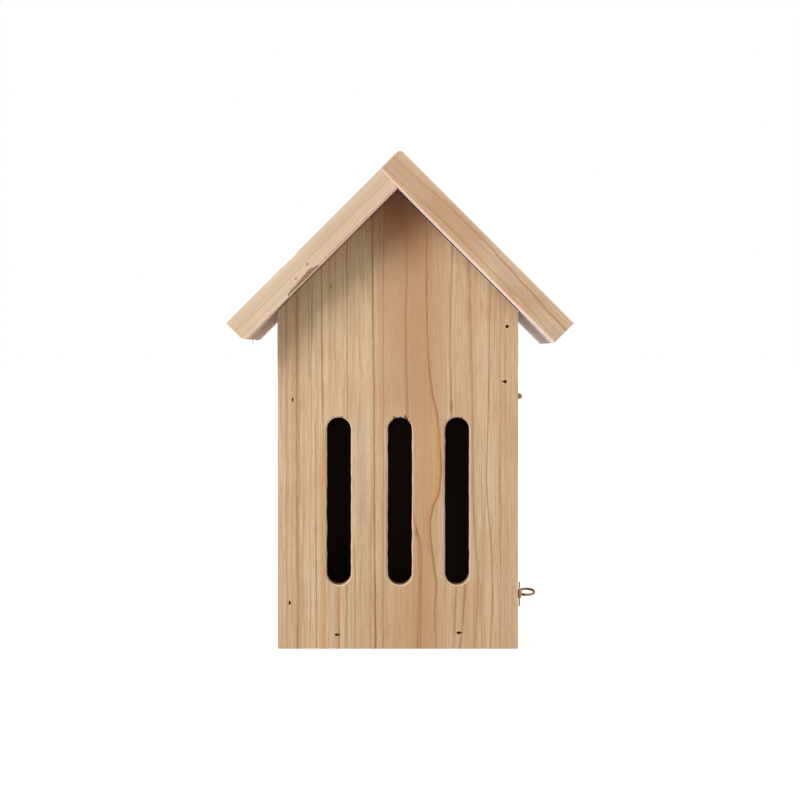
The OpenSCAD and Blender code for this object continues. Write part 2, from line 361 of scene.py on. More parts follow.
def woodFinish(name, look):
    wood = Finish(name)
    spot = wood.node("ShaderNodeTexCoord", out="Object")
    turn = tuple(math.radians(a) for a in look["turn"])
    board = wood.node("ShaderNodeMapping", {}, {"Vector": spot, "Scale": (1000, 1000, 1000),
                                                "Rotation": turn, "Location": look["origin"]})
    across = wood.node("ShaderNodeSeparateXYZ", {}, {"Vector": board}, "X")
    into = wood.node("ShaderNodeSeparateXYZ", {}, {"Vector": board}, "Y")
    along = wood.node("ShaderNodeSeparateXYZ", {}, {"Vector": board}, "Z")
    seed = look["seed"]

    # year rings around a pith that lies behind or before the board
    wander = wood.noise(board, grain["wander"], 3, 0.55, shift=(seed, seed * 2, 0)) - 0.5
    ripple = wood.noise(board, grain["ripple"], 2, 0.5, shift=(seed * 3, 0, seed)) - 0.5
    pithX, pithY = look["pith"]
    sideways = across - pithX + wander * look["wander"] + along * look["lean"]
    depthwise = into - pithY
    reach = (sideways * sideways + depthwise * depthwise) ** 0.5
    year = (reach + ripple * look["ripple"]) / look["ringWidth"]
    uneven = wood.noise(board, grain["uneven"], 1, 0.5, shift=(0, seed, 0))
    ring = wood.node("ShaderNodeValToRGB", {"stops": yearStops}, {"Fac": (year + uneven * 0.7).part()})
    ring = wood.node("ShaderNodeSeparateColor", {}, {"Color": ring})

    # fibres, streaks, stains and pores
    fibre = wood.noise(board, grain["fibre"], 4, 0.6, shift=(0, 0, seed))
    streak = wood.noise(board, grain["streak"], 3, 0.6, shift=(seed, 0, 0))
    broad = wood.noise(board, grain["broad"], 3, 0.55, shift=(0, seed, seed))
    stain = wood.noise(board, grain["stain"], 3, 0.5, shift=(seed * 5, 0, 0))
    pore = wood.smooth(wood.noise(board, grain["pore"], 2, 0.6, shift=(seed, seed, 0)), 0.63, 0.75)

    dark = look["dark"]
    colour = wood.mix(wood.smooth(broad, 0.3, 0.7), look["light"], look["middle"])
    colour = wood.mix(wood.smooth(stain, 0.42, 0.75) * look["stain"], colour, look["warm"])
    colour = wood.mix(ring * look["ringDepth"] * wood.smooth(streak, 0.25, 0.7, 0.35, 1.0), colour, dark)
    colour = wood.mix(wood.smooth(streak, 0.48, 0.72) * look["streak"], colour, dark)
    colour = wood.mix(wood.smooth(fibre, 0.42, 0.75) * look["fibre"], colour, dark)
    colour = wood.mix(wood.smooth(fibre, 0.52, 0.25) * look["fibre"] * 0.55, colour, look["pale"])
    colour = wood.mix(pore * look["pore"], colour, look["poreColour"])

    # single lines and bands, each as places along it and across it; some bands are painted shade, not grain
    sway = wood.noise(board, grain["sway"], 3, 0.6, shift=(seed, 0, 3)) - 0.5
    fade = wood.noise(board, grain["fade"], 2, 0.6, shift=(9, seed, 0))
    measure = across if look["linesAcross"] else into
    cut = into if look["linesAcross"] else across
    raised = ring * 0.3
    for number, line in enumerate(look["lines"]):
        places = line["path"]
        spread, soft = look["lineSpread"], line.get("soft", 1)
        if len(places) == 2:
            (z1, x1), (z2, x2) = places
            centre = along * ((x2 - x1) / (z2 - z1)) + (x1 - z1 * (x2 - x1) / (z2 - z1))
        else:
            curve = [(z / look["length"], x / spread + 0.5) for z, x in places]
            centre = wood.node("ShaderNodeFloatCurve", {"points": curve}, {"Value": along / look["length"]})
            centre = (centre - 0.5) * spread
        aside = measure - centre + sway * line.get("sway", 1.2) + cut * line.get("slant", 0.15)
        mask = wood.smooth(aside, -line["rise"], 0) * wood.smooth(aside, 0, line["fall"], 1, 0)
        if "start" in line:
            mask = mask * wood.smooth(along, line["start"] - 12 * soft, line["start"] + 6 * soft)
        if "end" in line:
            mask = mask * wood.smooth(along, line["end"] - 6 * soft, line["end"] + 12 * soft, 1, 0)
        mask = mask * wood.smooth(fade + 0.07 * (number % 3), 0.25, 0.6, line.get("least", 0.6), 1)
        colour = wood.mix(mask * line["depth"], colour, line["tint"])
        raised = raised + mask * line["depth"] * line.get("dent", 0.4)

    # knots and blotches: an oval core with a soft rim, and a dark ring round a real knot
    for spotted in look["knots"]:
        z, x = spotted["place"]
        tall, wide = spotted["size"]
        far = (((measure - x) / wide) ** 2 + ((along - z) / tall) ** 2 + ripple * 0.8) ** 0.5
        depth = spotted["depth"]
        colour = wood.mix(wood.smooth(far, 1.0, 0.45) * depth, colour, spotted["tint"])
        if spotted["ring"]:
            colour = wood.mix(wood.smooth(abs(far - 1.1), 0.35, 0) * depth * 0.5, colour, dark)

    # end grain drinks more and looks darker, with the rings closer
    facing = wood.node("ShaderNodeTexCoord", out="Normal")
    facing = wood.node("ShaderNodeVectorRotate", {"rotation_type": "EULER_XYZ"},
                       {"Vector": facing, "Rotation": turn})
    endwise = wood.smooth(abs(wood.node("ShaderNodeSeparateXYZ", {}, {"Vector": facing}, "Z")), 0.75, 0.95)
    speck = wood.noise(board, grain["speck"], 4, 0.7)
    colour = wood.mix(endwise * wood.smooth(speck, 0.3, 0.7, 0.25, 0.6), colour, look["endColour"])

    # beyond insideFrom lies the side that faces the chamber or the ground; its tint is painted light:
    # painted shade on the chamber and ground sides, and on the roof undersides a paler painted glow of light
    # thrown up from the floor
    inner = wood.smooth(into, look["insideFrom"], look["insideFrom"] + 0.1) * look["paintedShadeAndBounceAmount"]
    colour = wood.mix(inner, colour, look["paintedShadeAndBounceTint"], look["insideBlend"])

    height = fibre * 0.55 + streak * 0.35 - pore * 0.5 - raised * 0.6 + endwise * speck * 0.8
    rough = wood.smooth(fibre, 0.3, 0.7, 0.56, 0.74) + endwise * 0.12
    wood.shader.inputs["Specular IOR Level"].default_value = 0.28
    return wood.finish(colour, rough, 0.0, height, look["bump"])


softwood = {
    "turn": (0, 0, 0), "origin": (0, 0, 0), "seed": 1.0, "length": 220, "lineSpread": 130,
    "pith": (8, 62), "wander": 5.0, "ripple": 1.2, "lean": 0.0, "ringWidth": 1.9,
    "light": (0.50, 0.41, 0.30), "middle": (0.46, 0.355, 0.25), "pale": (0.57, 0.475, 0.365),
    "dark": (0.285, 0.185, 0.105), "warm": (0.42, 0.275, 0.155), "poreColour": (0.21, 0.13, 0.07),
    "endColour": (0.33, 0.23, 0.14), "stain": 0.35, "ringDepth": 0.46, "streak": 0.34, "fibre": 0.34,
    # the inside tint and amount paint shade on the side of a board that faces the chamber or the ground
    "pore": 0.34, "bump": 0.10, "insideFrom": 11.5, "paintedShadeAndBounceAmount": 0.78,
    "paintedShadeAndBounceTint": (0.20, 0.11, 0.06), "insideBlend": "MULTIPLY",
    "linesAcross": True, "lines": [], "knots": [],
}

brown, umber, ochre = (0.20, 0.115, 0.06), (0.29, 0.165, 0.085), (0.41, 0.255, 0.13)
tan, honey, black = (0.42, 0.285, 0.175), (0.36, 0.235, 0.14), (0.045, 0.03, 0.02)
pink, grey, rust = (0.44, 0.31, 0.235), (0.33, 0.28, 0.24), (0.26, 0.12, 0.065)

frontWood = dict(softwood, origin=(1.06, 42, 0), seed=2.3, ringDepth=0.29, fibre=0.48, lines=[
    # broad tones first, with a painted shade band under the ridge, then single lines
    grainLine([(0, 13), (220, 8)], 24, 16, 0.60, tan, least=1, dent=0),
    grainLine([(0, 2), (220, 2)], 26, 34, 0.66, (0.375, 0.26, 0.17), start=122, end=186, soft=2, least=1,
              dent=0),
    grainLine([(0, 14), (220, 14)], 9, 9, 0.28, honey, least=1, dent=0),
    grainLine([(0, 0), (60, 0)], 36, 40, 0.22, honey, end=24, soft=2, least=1, dent=0),
    # painted shade: a dark brown band fading down from under the ridge, where the roof's shadow falls on the
    # panel
    grainLine([(0, 0), (220, 0)], 36, 32, 0.82, (0.21, 0.095, 0.045), start=208, soft=2.6, least=1, dent=0),
    grainLine([(0, -49.0), (220, -50.0)], 3.5, 1.0, 0.32, umber),
    grainLine([(0, -50.0), (220, -50.8)], 0.7, 0.3, 0.45, brown),
    grainLine([(0, -55.3), (220, -55.6)], 1.0, 0.4, 0.25, brown),
    grainLine([(0, -43.5), (220, -42.6)], 0.26, 0.22, 1.0, black, start=155, end=178, sway=0.3, least=1),
    grainLine([(0, -43.8), (150, -42.8)], 0.6, 0.3, 0.32, brown, end=150),
    grainLine([(0, -36.2), (120, -37.0)], 4.2, 0.8, 0.62, ochre, end=106, least=0.9),
    grainLine([(0, -40.6), (120, -41.0)], 0.8, 0.5, 0.45, brown, end=112),
    grainLine([(0, -37.5), (220, -37.8)], 0.8, 0.4, 0.45, brown, start=118),
    grainLine([(0, -32.5), (220, -32.9)], 3.0, 0.8, 0.30, ochre, start=118),
    grainLine([(0, -25.6), (220, -25.0)], 0.8, 0.35, 0.50, brown),
    grainLine([(110, -22), (150, -22.5)], 4, 3, 0.40, pink, start=116, end=140),
    grainLine([(0, -16.6), (120, -17.2)], 3.0, 2.4, 0.28, grey, start=62, end=118),
    grainLine([(0, -29.3), (34, -29.6)], 2.8, 0.5, 0.55, ochre, end=29, least=1),
    grainLine([(0, -29.2), (34, -29.4)], 0.7, 0.3, 0.50, brown, end=29),
    grainLine([(0, -21.2), (60, -21.5)], 0.9, 0.4, 0.40, brown, end=50),
    grainLine([(0, -11.2), (120, -11.8), (220, -12.6)], 1.0, 0.35, 0.60, brown),
    grainLine([(0, -10.9), (30, -11.2)], 0.9, 0.5, 0.65, umber, end=36, least=0.9),
    grainLine([(0, -7.6), (220, -7.4)], 1.6, 0.5, 0.42, ochre),
    grainLine([(0, -7.4), (220, -7.2)], 0.5, 0.3, 0.40, brown),
    grainLine([(0, 10.1), (40, 11.0), (56, 10.4), (66, 8.4), (90, 7.2), (118, 5.1), (220, 5.5)], 1.8, 0.45,
              0.55, umber),
    grainLine([(0, 11.4), (34, 11.9), (52, 11.6), (60, 9.6)], 0.9, 0.3, 0.45, brown, end=58),
    grainLine([(0, 19), (18, 18.3), (31, 19), (44, 17.7), (61, 16.2), (69, 17.0), (79, 20.6), (107, 20.8),
               (117, 19.7), (130, 16.8), (146, 15.5), (214, 14.2)], 4.0, 1.2, 0.50, (0.40, 0.235, 0.12),
              start=40, end=120, soft=2, least=0.8, dent=0.1, sway=2.4),
    grainLine([(0, 19.3), (18, 18.6), (31, 19.3), (44, 18), (61, 16.5), (69, 17.3), (79, 20.8),
               (107, 21.0), (117, 19.9), (130, 17.0), (146, 15.7), (214, 14.4)], 1.2, 0.4, 0.66,
              (0.255, 0.145, 0.075), least=0.6, sway=2.4),
    grainLine([(0, 31.2), (34, 33.6), (60, 31), (118, 27), (220, 28)], 1.6, 0.4, 0.50, brown),
    grainLine([(0, 27.4), (34, 29.4)], 0.9, 0.4, 0.40, brown, end=29),
    grainLine([(0, 38), (38, 39.8), (62, 38), (118, 37.1), (220, 34.8)], 1.7, 0.45, 0.42, umber),
    grainLine([(0, 38.4), (38, 40.2), (62, 38.4), (118, 37.5), (220, 35.2)], 0.6, 0.3, 0.40, rust),
    grainLine([(0, 46.4), (40, 47.2), (80, 44.6), (120, 45.2), (220, 46.6)], 0.9, 0.4, 0.45, brown),
    grainLine([(0, 42.3), (90, 42.0)], 0.8, 0.4, 0.35, brown, end=88),
    grainLine([(0, 51.6), (220, 51.2)], 0.9, 0.4, 0.30, brown),
    grainLine([(0, 57.6), (220, 57.9)], 0.7, 2.4, 0.50, pink),
], knots=[
    knot((58, 9.3), (2.8, 1.0), 0.6, umber),
    knot((105, 20.4), (9.0, 1.5), 0.55, ochre),
    knot((107, 23.2), (2.2, 0.8), 0.55, grey),
    knot((181, -33.5), (1.8, 0.55), 0.8, brown),
    knot((121, 26.6), (3.6, 1.0), 0.55, umber),
])

backWood = dict(softwood, turn=(0, 0, 180), origin=(-1.06, 60, 0), seed=5.1, pith=(-14, 55), knots=[
    knot((92, -24), (6, 4.2), 0.8, brown, ring=True),
    knot((150, 31), (3.2, 2.4), 0.7, brown, ring=True),
])

leftSideWood = dict(softwood, turn=(0, 0, 90), origin=(0, 61.06, 0), seed=7.7, pith=(-5, 48), knots=[
    knot((118, 12), (5, 3.6), 0.75, brown, ring=True),
])
rightSideWood = dict(softwood, turn=(0, 0, -90), origin=(0, 58.94, 0), seed=3.9, pith=(12, 52))
doorWood = dict(softwood, turn=(0, 0, -90), origin=(0, 58.94, 0), seed=11.3, pith=(16, 44), insideFrom=40,
                knots=[knot((64, 26), (4.2, 3.0), 0.75, brown, ring=True)])
floorWood = dict(softwood, turn=(0, 90, -90), origin=(0, 0, 0), seed=13.2, pith=(3, 40))

# on the roof y is the depth below the outer face and z the way down from the ridge
roofWood = dict(softwood, origin=(0, 175.16, 175.16), linesAcross=False, length=125, lineSpread=40,
                insideBlend="MIX")
leftRoofWood = dict(
    roofWood, turn=(0, 135, -90), seed=17.0, pith=(-95, 70), ringWidth=2.2, ringDepth=0.14, streak=0.16,
    fibre=0.22, light=(0.525, 0.445, 0.355), middle=(0.485, 0.405, 0.32), stain=0.18, insideFrom=12.08,
    # the inside tint paints the underside paler: painted light thrown up from the floor
    paintedShadeAndBounceTint=(0.80, 0.66, 0.62), paintedShadeAndBounceAmount=0.85, lines=[
        grainLine([(0, 3.6), (60, 4.4), (122, 3.6)], 3.6, 2.4, 0.30, (0.40, 0.315, 0.235), slant=0, dent=0,
                  sway=2.5),
        grainLine([(0, 6), (122, 6)], 9, 9, 0.34, (0.40, 0.30, 0.21), end=62, soft=2, least=1, slant=0,
                  dent=0),
        grainLine([(0, 6.9), (40, 6.0), (80, 6.6), (122, 5.6)], 0.9, 0.3, 0.24, umber, slant=0, sway=3),
        grainLine([(0, 10.3), (122, 9.4)], 0.7, 0.3, 0.14, umber, slant=0),
        # painted shade: a dark line along the lower edge of the board, standing in for the shadow gap under
        # the roof
        grainLine([(0, 11.8), (122, 11.8)], 0.6, 0.6, 0.6, umber, slant=0, sway=0.2, end=66),
    ], knots=[
        knot((72, 7.6), (1.3, 0.8), 0.8, umber),
        knot((81, 8.7), (1.1, 0.7), 0.8, umber),
        knot((78, 12.4), (12, 2.5), 0.7, (0.41, 0.25, 0.13)),
        knot((74, 12.4), (5.5, 2.9), 0.4, (0.36, 0.20, 0.10)),
    ])
rightRoofWood = dict(
    roofWood, turn=(0, 225, 90), seed=23.0, pith=(90, 60), ringWidth=2.9, ringDepth=0.2, streak=0.24,
    fibre=0.42, light=(0.495, 0.395, 0.30), middle=(0.45, 0.345, 0.25), warm=(0.40, 0.26, 0.165), stain=0.6,
    # the inside tint paints the underside paler: painted light thrown up from the floor
    insideFrom=13.58, paintedShadeAndBounceTint=(0.90, 0.83, 0.86), paintedShadeAndBounceAmount=0.97, lines=[
        grainLine([(0, 8.4), (30, 7.0), (70, 6.4), (122, 8.6)], 3.6, 3.0, 0.42, (0.35, 0.30, 0.25), slant=0,
                  dent=0, sway=4),
        grainLine([(0, 7), (122, 7)], 10, 10, 0.60, (0.38, 0.265, 0.175), end=44, soft=2, least=1, slant=0,
                  dent=0),
        grainLine([(60, 2.7), (90, 4.1), (121, 5.1)], 1.4, 0.4, 0.65, umber, start=70, slant=0, sway=2.5),
        grainLine([(0, 5.0), (35, 3.4), (70, 3.0)], 1.6, 0.6, 0.45, umber, end=62, slant=0, sway=3),
        grainLine([(0, 11.6), (50, 10.4), (122, 11.4)], 1.6, 0.6, 0.30, umber, slant=0, sway=3),
        grainLine([(0, 13.3), (122, 13.3)], 0.5, 0.9, 0.6, (0.62, 0.53, 0.42), slant=0, sway=0.2, dent=0),
    ])

print("wood")
frontBoard = woodFinish("frontWood", frontWood)
# the pale rim is partly fresh-cut wood and partly painted highlight for the chamfers that catch the light
slotRimPaleAndHighlightWood = woodFinish("slotRimPaleAndHighlightWood", dict(
    frontWood, light=(0.585, 0.485, 0.39), middle=(0.51, 0.41, 0.32), lines=[], ringDepth=0.15, fibre=0.25,
    streak=0.15, insideFrom=40))
# dark torn wood; on the notches above the slots its darkness is painted shade in the hollows
tornWoodAndNotchShade = woodFinish("tornWoodAndNotchShade", dict(
    frontWood, light=(0.36, 0.22, 0.12), middle=(0.26, 0.155, 0.085), lines=[], pale=(0.40, 0.26, 0.15),
    dark=(0.12, 0.07, 0.04), insideFrom=40))
backBoard = woodFinish("backWood", backWood)
leftSideBoard = woodFinish("leftSideWood", leftSideWood)
rightSideBoard = woodFinish("rightSideWood", rightSideWood)
doorBoard = woodFinish("doorWood", doorWood)
floorBoard = woodFinish("floorWood", floorWood)
leftRoofBoard = woodFinish("leftRoofWood", leftRoofWood)
rightRoofBoard = woodFinish("rightRoofWood", rightRoofWood)


# Boards

house = {
    "middleX": -1.06066, "leftX": -61.06066, "rightX": 58.93934, "board": 12.0,
    "frontY": -42.0, "frontInnerY": -30.0, "backInnerY": 48.0, "backY": 60.0,
    "shoulder": 169.4, "half": 60.0, "ridgeZ": 247.7140, "edge": 0.4,
}
dent = {"sides": 14, "long": 1.5, "proud": 0.12, "uneven": 0.15}  # left by a sunken nail head


def gabled(name, low, high, gap=0.0):
    top = house["shoulder"] + house["half"]
    piece = block(name, (house["leftX"], low, 0), (house["rightX"], high, top))
    for side in (-1, 1):
        corner = (house["middleX"] + side * house["half"], 0, house["shoulder"] - gap)
        cutAway(piece, corner, (side, 0, 1))
    return piece


def dentCutter(place, size, faceY, outward):
    cutter = rod("dentCutter", (0, 0, 0), 0.5, dent["long"], (90, 0, 0), dent["sides"])
    least, most = 1 - dent["uneven"], 1 + dent["uneven"]
    for vertex in cutter.data.vertices:
        vertex.co.x *= size[0] * chance.uniform(least, most)
        vertex.co.z *= size[1] * chance.uniform(least, most)
    return shift(cutter, (place[0], faceY + dent["proud"] * outward, place[1]))


def sliver(name, place, length, radius, turn, lean):
    bpy.ops.object.select_all(action="DESELECT")
    bpy.ops.mesh.primitive_cone_add(vertices=6, radius1=radius * mm, radius2=0.0, depth=length * mm,
                                    location=metres(place))
    splinter = named(name)
    return shift(shift(splinter, (0, 0, 0), turn, "Y", place), (0, 0, 0), lean, "X", place)


def keep(piece, body, node, finish):
    piece.data.materials.clear()
    piece.data.materials.append(finish)
    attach(piece, body)
    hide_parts(node)
    return piece


print("front panel")
slots = {
    "centres": (-29.5, 1.0, 29.6), "width": 12.0, "low": 31.9, "high": 115.6, "arcCuts": 10, "sideCuts": 22,
    "jitter": 0.085, "rim": 0.75, "roofGap": 0.45, "notchSunk": 0.5, "notchDepth": 3.5,
    "splinterRadius": 0.13, "splinterLean": 12, "splinterSunk": 0.5,
}
frontDents = [  # from the middle and the base, with the dent's width and height
    (54.5, 161, 1.75, 1.75), (53.5, 133.5, 1.8, 1.5), (52.5, 133.6, 1.3, 0.7), (-52.5, 124.5, 0.8, 2.1),
    (-54, 23, 0.9, 2.4), (30.5, 8, 1.9, 1.4), (30.5, 8.2, 3.8, 0.5), (-30.3, 7, 2.9, 1.3),
    (-29.4, 7.2, 2.2, 0.6),
]
tornNotches = [  # slot, place across, width, height, lean
    (1, -3.0, 1.6, 1.6, -6), (1, -2.0, 0.9, 0.9, 8), (1, 2.7, 1.8, 1.9, 4), (1, 3.7, 1.3, 1.4, 14),
    (1, 0.6, 1.1, 0.7, 0), (0, 1.5, 1.0, 0.9, 5), (0, -2.6, 0.9, 0.7, -8), (2, 2.2, 1.0, 0.8, 10),
    (1, 4.8, 1.0, 1.0, 20),
]
slotSplinters = [  # slot, end, place across, length, lean
    (0, "low", -0.8, 1.6, 20), (0, "low", 0.6, 1.2, -15), (1, "high", -3.1, 1.5, 25),
    (1, "high", 2.6, 1.8, -12), (1, "high", 1.2, 1.0, 30), (2, "low", -3.5, 1.1, 35),
    (2, "high", 1.4, 0.9, -20), (1, "high", 4.4, 1.3, 40), (1, "high", -0.9, 0.9, -30),
    (1, "high", 5.2, 0.9, 60), (0, "low", 3.2, 1.0, -45), (1, "low", 1.4, 0.9, 15),
]
rimTint = {  # which faces near a slot are pale rim, partly fresh-cut wood and partly painted highlight, and which are torn wood with painted shade
    "steepest": 0.2, "flattest": 0.97, "behind": 0.3, "reach": 2.5,
    "tornRise": 2.0, "tornDeep": 0.1, "tornOut": 0.15, "tornReach": 5.0,
}
slotHalf = slots["width"] / 2


def slotCore(z):
    # the nearest height at which a slot's end is still straight
    return min(max(z, slots["low"] + slotHalf), slots["high"] - slotHalf)


def slotBlock(name, front, back):
    cutter = block(name, (-slotHalf, front, slots["low"]), (slotHalf, back, slots["high"]))
    return roundEdges(cutter, lambda place, way: abs(way.y) > 0.9, slotHalf - 0.01, slots["arcCuts"])


def roughen(cutter):
    # the sawn sides waver a little from height to height
    for side in (-1, 1):
        drift = {}
        for vertex in cutter.data.vertices:
            if abs(vertex.co.x / mm - side * slotHalf) < 0.05:
                height = round(vertex.co.z / mm, 1)
                drift.setdefault(height, chance.gauss(0, slots["jitter"]))
                vertex.co.x += drift[height] * mm
    return cutter


frontPanel = gabled("frontPanelBoard", house["frontY"], house["frontInnerY"], slots["roofGap"])
slotPattern = slotBlock("slotPattern", house["frontY"] - 3, house["frontInnerY"] + 3)
pickEdges(slotPattern, lambda place, way: abs(way.z) > 0.99)
bpy.ops.mesh.subdivide(number_cuts=slots["sideCuts"])
done(slotPattern)
rimPattern = slotBlock("rimPattern", house["frontY"] - 1, house["frontY"] + slots["rim"])
for vertex in rimPattern.data.vertices:  # spread at 45 degrees towards the front
    place = vertex.co / mm
    if place.y < house["frontY"]:
        outward = (place - Vector((0, place.y, slotCore(place.z)))).normalized()
        vertex.co += outward * (1 + slots["rim"]) * mm
for centre in slots["centres"]:
    cutter = roughen(copied(slotPattern, "slotCutter"))
    combine(frontPanel, shift(cutter, (house["middleX"] + centre, 0, 0)))
for centre in slots["centres"]:
    combine(frontPanel, copied(rimPattern, "rimCutter", (house["middleX"] + centre, 0, 0)))
discard(slotPattern)
discard(rimPattern)

for number, x, wide, tall, lean in tornNotches:
    rimTop = slots["high"] - slotHalf + (slotHalf ** 2 - x * x) ** 0.5 + slots["rim"] * 0.7
    place = (house["middleX"] + slots["centres"][number] + x, house["frontY"],
             rimTop + tall / 2 - slots["notchSunk"])
    notch = sliver("notch", place, tall + slots["notchSunk"], wide / 2, lean, 0)
    for vertex in notch.data.vertices:
        deep = vertex.co.y - house["frontY"] * mm
        vertex.co.y = house["frontY"] * mm + deep * slots["notchDepth"]
    combine(frontPanel, notch)
for x, z, wide, tall in frontDents:
    combine(frontPanel, dentCutter((house["middleX"] + x, z), (wide, tall), house["frontY"], -1))
ease(frontPanel, house["edge"])

slivers = []
for number, end, x, length, lean in slotSplinters:
    reach = (slotHalf ** 2 - x * x) ** 0.5
    z = slots["low"] + slotHalf - reach if end == "low" else slots["high"] - slotHalf + reach
    place = (house["middleX"] + slots["centres"][number] + x, house["frontY"] + slots["splinterSunk"], z)
    turn = lean if end == "low" else lean + 180
    slivers.append(sliver("splinter", place, length, slots["splinterRadius"], turn, slots["splinterLean"]))
frontPanel = joined("frontPanelBoard", [frontPanel] + slivers)
keep(frontPanel, "house", "front_panel", frontBoard)
frontPanel.data.materials.append(slotRimPaleAndHighlightWood)
frontPanel.data.materials.append(tornWoodAndNotchShade)
for face in frontPanel.data.polygons:
    place = face.center / mm
    near = min((place.x - house["middleX"] - centre for centre in slots["centres"]), key=abs)
    rise = place.z - slotCore(place.z)
    out = (near * near + rise * rise) ** 0.5 - slotHalf
    deep = place.y - house["frontY"]
    slanted = rimTint["steepest"] < -face.normal.y < rimTint["flattest"]
    # pale rim faces: fresh-cut tone with a painted highlight
    if slanted and deep < slots["rim"] + rimTint["behind"] and out < rimTint["reach"]:
        face.material_index = 1
    rimEdge = max(slots["rim"] - deep, 0) + rimTint["tornOut"]
    # notch faces above a slot get the dark torn wood, painted shade in the hollows
    if rise > rimTint["tornRise"] and deep > rimTint["tornDeep"] and rimEdge < out < rimTint["tornReach"]:
        face.material_index = 2

print("back panel")
backDents = {
    "places": [(54, 162), (53.5, 140), (-54, 140), (-53, 24), (-31, 6.5), (29, 7)], "size": (1.8, 1.8),
}
hanger = {
    "z": 186.0, "long": 40.0, "wide": 14.0, "thick": 1.2, "play": 0.1, "edge": 0.15,
    "holeZ": -4.0, "holeRadius": 4.0, "slotWide": 4.2, "slotTop": 7.0,
    "pocket": 6.0, "pocketGrow": 3.0, "screwZ": 15.5, "screwHole": 2.5,
}


def stadium(name, y, low, high, wide, deep):
    middle = house["middleX"]
    piece = block(name, (middle - wide / 2, y - deep, low), (middle + wide / 2, y, high))
    return roundEdges(piece, lambda place, way: abs(way.y) > 0.9, wide / 2 - 0.01, 14)


def hangerShape(name, play, proud):
    reach = hanger["long"] / 2 + play
    return stadium(name, house["backY"] + proud, hanger["z"] - reach, hanger["z"] + reach,
                   hanger["wide"] + 2 * play, hanger["thick"] + proud)


def keyholeCutter(grow, deep, proud):
    low = hanger["z"] + hanger["holeZ"]
    top = hanger["z"] + hanger["slotTop"] + hanger["slotWide"] / 2 + grow
    face = house["backY"] + proud
    cutter = rod("keyholeCutter", (house["middleX"], face - deep / 2, low), hanger["holeRadius"] + grow,
                 deep, (90, 0, 0), 40)
    upper = stadium("keySlotCutter", face, low, top, hanger["slotWide"] + 2 * grow, deep)
    return combine(cutter, upper, "UNION")


backPanel = gabled("backPanelBoard", house["backInnerY"], house["backY"])
combine(backPanel, hangerShape("recessCutter", hanger["play"], 1))
combine(backPanel, keyholeCutter(hanger["pocketGrow"], hanger["pocket"] + hanger["thick"] + 1, 1))
for x, z in backDents["places"]:
    combine(backPanel, dentCutter((house["middleX"] + x, z), backDents["size"], house["backY"], 1))
ease(backPanel, house["edge"])
keep(backPanel, "house", "back_panel", backBoard)

print("walls and floor")
leftWall = block("leftWallBoard", (house["leftX"], house["frontInnerY"], 0),
                 (house["leftX"] + house["board"], house["backInnerY"], house["shoulder"] + house["board"]))
cutAway(leftWall, (house["leftX"], 0, house["shoulder"]), (-1, 0, 1))
ease(leftWall, house["edge"])
keep(leftWall, "house", "left_side_panel", leftSideBoard)

upper = {"low": 126.4}
upperBoard = block("rightUpperBoard", (house["rightX"] - house["board"], house["frontInnerY"], upper["low"]),
                   (house["rightX"], house["backInnerY"], house["shoulder"] + house["board"]))
cutAway(upperBoard, (house["rightX"], 0, house["shoulder"]), (1, 0, 1))
ease(upperBoard, house["edge"])
keep(upperBoard, "house", "right_upper_board", rightSideBoard)

base = {"doorPlay": 0.1}
baseBoard = block("floorPlank", (house["leftX"] + house["board"], house["frontInnerY"], 0),
                  (house["rightX"] - house["board"] - base["doorPlay"], house["backInnerY"], house["board"]))
ease(baseBoard, house["edge"])
keep(baseBoard, "house", "floor_board", floorBoard)

flap = {"low": 1.0, "top": 125.4, "endPlay": 0.8}
door = block("flapDoorBoard",
             (house["rightX"] - house["board"], house["frontInnerY"] + flap["endPlay"], flap["low"]),
             (house["rightX"], house["backInnerY"] - flap["endPlay"], flap["top"]))
ease(door, house["edge"])
keep(door, "door", "side_door", doorBoard)

print("roof")
# modelled level, with x the way down from the ridge and z = 0 the outer face
roof = {
    "length": 120.7, "low": -60.0, "high": 60.0, "dentRadius": 0.9, "dentLong": 1.3,
    "nails": [(36, -36), (36, 54), (80, -36), (80, 54)],
}
leftSlope = {
    "thick": 12.2, "eaveRound": 2.6,
    "chip": [  # place, size and turn of each scoop at the front edge
        ((78.5, -60, -12.8), (10.5, 1.8, 2.4), 3), ((74, -60, -12.9), (4.5, 1.8, 3.0), 0),
        ((86, -60, -12.6), (4.0, 1.6, 1.9), 0), ((75, -60, 0.65), (7.5, 3.0, 1.25), 2),
    ],
    "splinterPlace": (-72.4, -59.2, 154.0), "splinterLength": 5.0, "splinterRadius": 0.32,
    "splinterTurn": 176, "splinterLean": 4, "splinterFace": 3.0,
}
rightSlope = {"thick": 13.7, "ridgeRound": 2.0, "ridgeNails": [(6.1, -45), (6.1, 2), (6.1, 46)]}


def downSlope(piece, side):
    turn = Matrix.Rotation(math.radians(45), 4, "Y")
    mirror = Matrix.Scale(-1, 4, (1, 0, 0)) if side < 0 else Matrix.Identity(4)
    piece.data.transform(Matrix.Translation(metres((0, 0, house["ridgeZ"]))) @ mirror @ turn)
    if side < 0:
        only(piece)
        bpy.ops.object.mode_set(mode="EDIT")
        bpy.ops.mesh.select_all(action="SELECT")
        bpy.ops.mesh.flip_normals()
        done(piece)
    return piece


def roofDents(piece, places):
    pattern = rod("dentPattern", (0, 0, 0), roof["dentRadius"], roof["dentLong"], sides=dent["sides"])
    for s, y in places:
        combine(piece, copied(pattern, "dentCutter", (s, y, 0)))
    discard(pattern)
    return piece


def lowerEave(place, way):
    return (abs(way.y) > 0.9 and place.x > roof["length"] - 0.1
            and place.z < -leftSlope["thick"] + 0.1)


